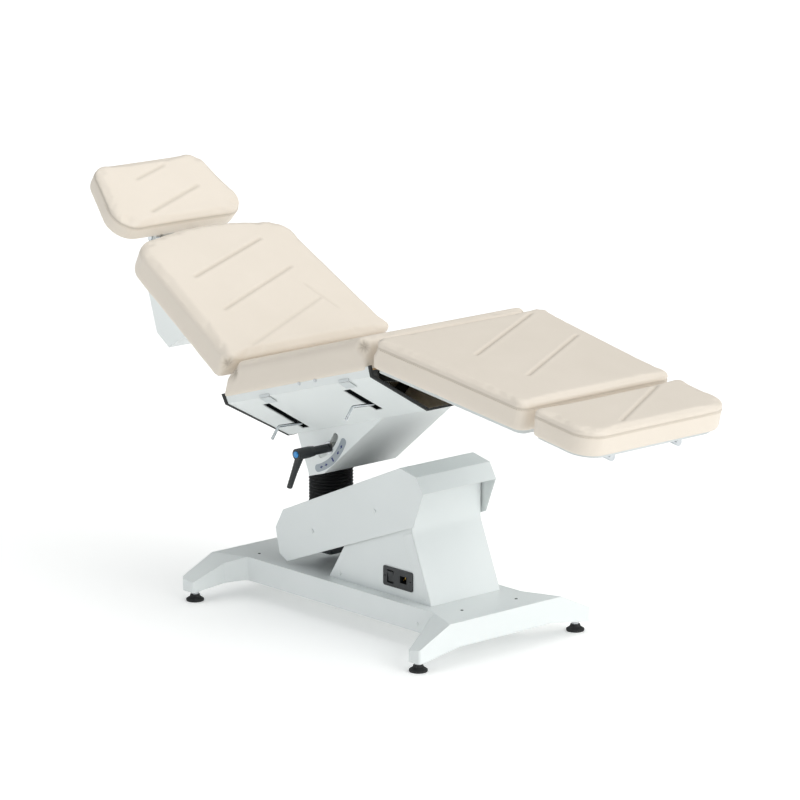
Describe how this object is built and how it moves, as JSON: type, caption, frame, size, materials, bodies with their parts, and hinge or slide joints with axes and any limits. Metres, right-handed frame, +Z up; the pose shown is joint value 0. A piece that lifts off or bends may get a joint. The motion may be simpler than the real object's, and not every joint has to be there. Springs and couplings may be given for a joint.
{
  "type": "medical exam table",
  "caption": "Height-adjustable treatment table with a tilting seat, hinged back and leg pads, a sliding foot pad and an adjustable headrest.",
  "frame": {"origin": "on the floor, under the middle of the whole table's length and width at rest", "axes": "+X to the foot end, +Y to the side away from the power inlet, +Z up"},
  "size_m": [2.107, 0.624, 1.136],
  "materials": {
    "white_steel": "satin pale grey-white powder coat",
    "pan_steel": "satin off-white powder coat",
    "bare_steel": "bright zinc-plated steel",
    "dark_steel": "oiled dark steel",
    "black_rubber": "matt black moulded rubber",
    "black_plastic": "matt black moulded plastic",
    "blue_plastic": "blue moulded plastic",
    "scale_plastic": "grey printed plastic film",
    "pad_vinyl": "cream coated upholstery vinyl",
    "plywood": "sanded birch plywood",
    "contact_brass": "bright brass"
  },
  "bodies": {
    "base": {"base_frame": "white_steel", "foot_studs": "bare_steel", "foot_pads": "black_rubber", "pedestal_cover": "white_steel", "pedestal_frame": "dark_steel", "arm_pivot_pin": "bare_steel", "link_pivot_pin": "bare_steel", "motor_pin": "bare_steel", "power_inlet": "black_plastic", "inlet_pins": "contact_brass", "cover_screws": "white_steel"},
    "switch": {"power_switch": "black_plastic"},
    "motor": {"lift_motor": "black_plastic"},
    "rod": {"lift_rod": "bare_steel"},
    "arm": {"lift_arm": "dark_steel", "arm_cover": "white_steel", "hood_screws": "white_steel", "rod_pin": "bare_steel"},
    "link": {"level_link": "dark_steel"},
    "column": {"column_post": "dark_steel", "bellows": "black_rubber", "column_head": "white_steel", "column_pivot_pin": "bare_steel", "link_end_pin": "bare_steel", "tilt_pin": "bare_steel", "clamp_stud": "bare_steel", "clamp_spacer": "black_plastic"},
    "clamp": {"clamp_lever": "black_plastic"},
    "button": {"lever_button": "blue_plastic"},
    "seat": {"seat_tray": "white_steel", "edge_trims": "black_rubber", "seat_box": "white_steel", "tilt_brackets": "dark_steel", "hinge_brackets": "dark_steel", "back_hinge_pins": "bare_steel", "knee_pins": "bare_steel", "seat_board": "plywood", "seat_cushion": "pad_vinyl", "rail_screws": "bare_steel", "tilt_scale": "scale_plastic", "back_lever_pivot": "bare_steel", "leg_lever_pivot": "bare_steel"},
    "back_release": {"back_lever": "bare_steel"},
    "leg_release": {"leg_lever": "bare_steel"},
    "back": {"back_frame": "pan_steel", "back_channel": "white_steel", "back_board": "plywood", "back_cushion": "pad_vinyl", "head_guides": "bare_steel"},
    "head_carriage": {"head_slide": "bare_steel"},
    "headrest": {"head_bracket": "pan_steel", "head_cushion": "pad_vinyl"},
    "leg": {"leg_frame": "pan_steel", "leg_board": "plywood", "leg_cushion": "pad_vinyl", "foot_guides": "bare_steel"},
    "foot": {"foot_frame": "pan_steel", "foot_board": "plywood", "foot_cushion": "pad_vinyl", "foot_rods": "bare_steel"}
  },
  "joints": [
    {"name": "arm_lift", "type": "hinge", "parent": "base", "child": "arm", "pos_m": [0.23, 0, 0.385], "axis": [0, 1, 0], "range_deg": [0, 44.6]},
    {"name": "column_level", "type": "hinge", "parent": "arm", "child": "column", "pos_m": [-0.20901, 0, 0.20495], "axis": [0, 1, 0], "range_deg": [-44.6, 0]},
    {"name": "link_swing", "type": "hinge", "parent": "base", "child": "link", "pos_m": [0.23, 0, 0.335], "axis": [0, 1, 0], "range_deg": [0, 44.6]},
    {"name": "motor_swing", "type": "hinge", "parent": "base", "child": "motor", "pos_m": [0.28, 0, 0.19], "axis": [0, 1, 0], "range_deg": [0, 20.07]},
    {"name": "rod_extend", "type": "slide", "parent": "motor", "child": "rod", "axis": [-0.888, 0, 0.4598], "range_m": [0, 0.10225]},
    {"name": "seat_tilt", "type": "hinge", "parent": "column", "child": "seat", "pos_m": [-0.169, 0, 0.588], "axis": [0, 1, 0], "range_deg": [-15, 16.5]},
    {"name": "clamp_turn", "type": "hinge", "parent": "column", "child": "clamp", "pos_m": [-0.06619, -0.22, 0.48154], "axis": [0, 1, 0], "range_deg": [-40, 60]},
    {"name": "button_press", "type": "slide", "parent": "clamp", "child": "button", "axis": [0, 1, 0], "range_m": [0, 0.003], "stiffness_N_per_m": 900},
    {"name": "switch_rock", "type": "hinge", "parent": "base", "child": "switch", "pos_m": [0.179, -0.12, 0.169], "axis": [-1, 0, 0], "range_deg": [0, 16]},
    {"name": "back_recline", "type": "hinge", "parent": "seat", "child": "back", "pos_m": [-0.3175, 0, 0.63162], "axis": [0, 1, 0], "range_deg": [-46, 20]},
    {"name": "knee_bend", "type": "hinge", "parent": "seat", "child": "leg", "pos_m": [0.31198, 0, 0.76802], "axis": [0, 1, 0], "range_deg": [-26, 55]},
    {"name": "foot_slide", "type": "slide", "parent": "leg", "child": "foot", "axis": [0.9863, 0, -0.165], "range_m": [-0.034, 0.08]},
    {"name": "head_reach", "type": "slide", "parent": "back", "child": "head_carriage", "axis": [-0.8704, 0, 0.4924], "range_m": [-0.03, 0.08]},
    {"name": "head_tilt", "type": "hinge", "parent": "head_carriage", "child": "headrest", "pos_m": [-0.8765, 0, 0.94329], "axis": [0, 1, 0], "range_deg": [-30, 33]},
    {"name": "back_lever_lift", "type": "hinge", "parent": "seat", "child": "back_release", "pos_m": [-0.14682, -0.148, 0.54833], "axis": [-0.9588, 0, -0.284], "range_deg": [0, 12], "stiffness_Nm_per_rad": 1.5},
    {"name": "leg_lever_lift", "type": "hinge", "parent": "seat", "child": "leg_release", "pos_m": [0.1745, -0.172, 0.6607], "axis": [-0.9588, 0, -0.284], "range_deg": [0, 12], "stiffness_Nm_per_rad": 1.5}
  ],
  "couplings": [
    {"joint": "column_level", "follows": "arm_lift", "ratio": -1},
    {"joint": "link_swing", "follows": "arm_lift", "ratio": 1},
    {"joint": "motor_swing", "follows": "arm_lift", "ratio": 0.44786},
    {"joint": "rod_extend", "follows": "arm_lift", "m_per_rad": 0.13072}
  ]
}
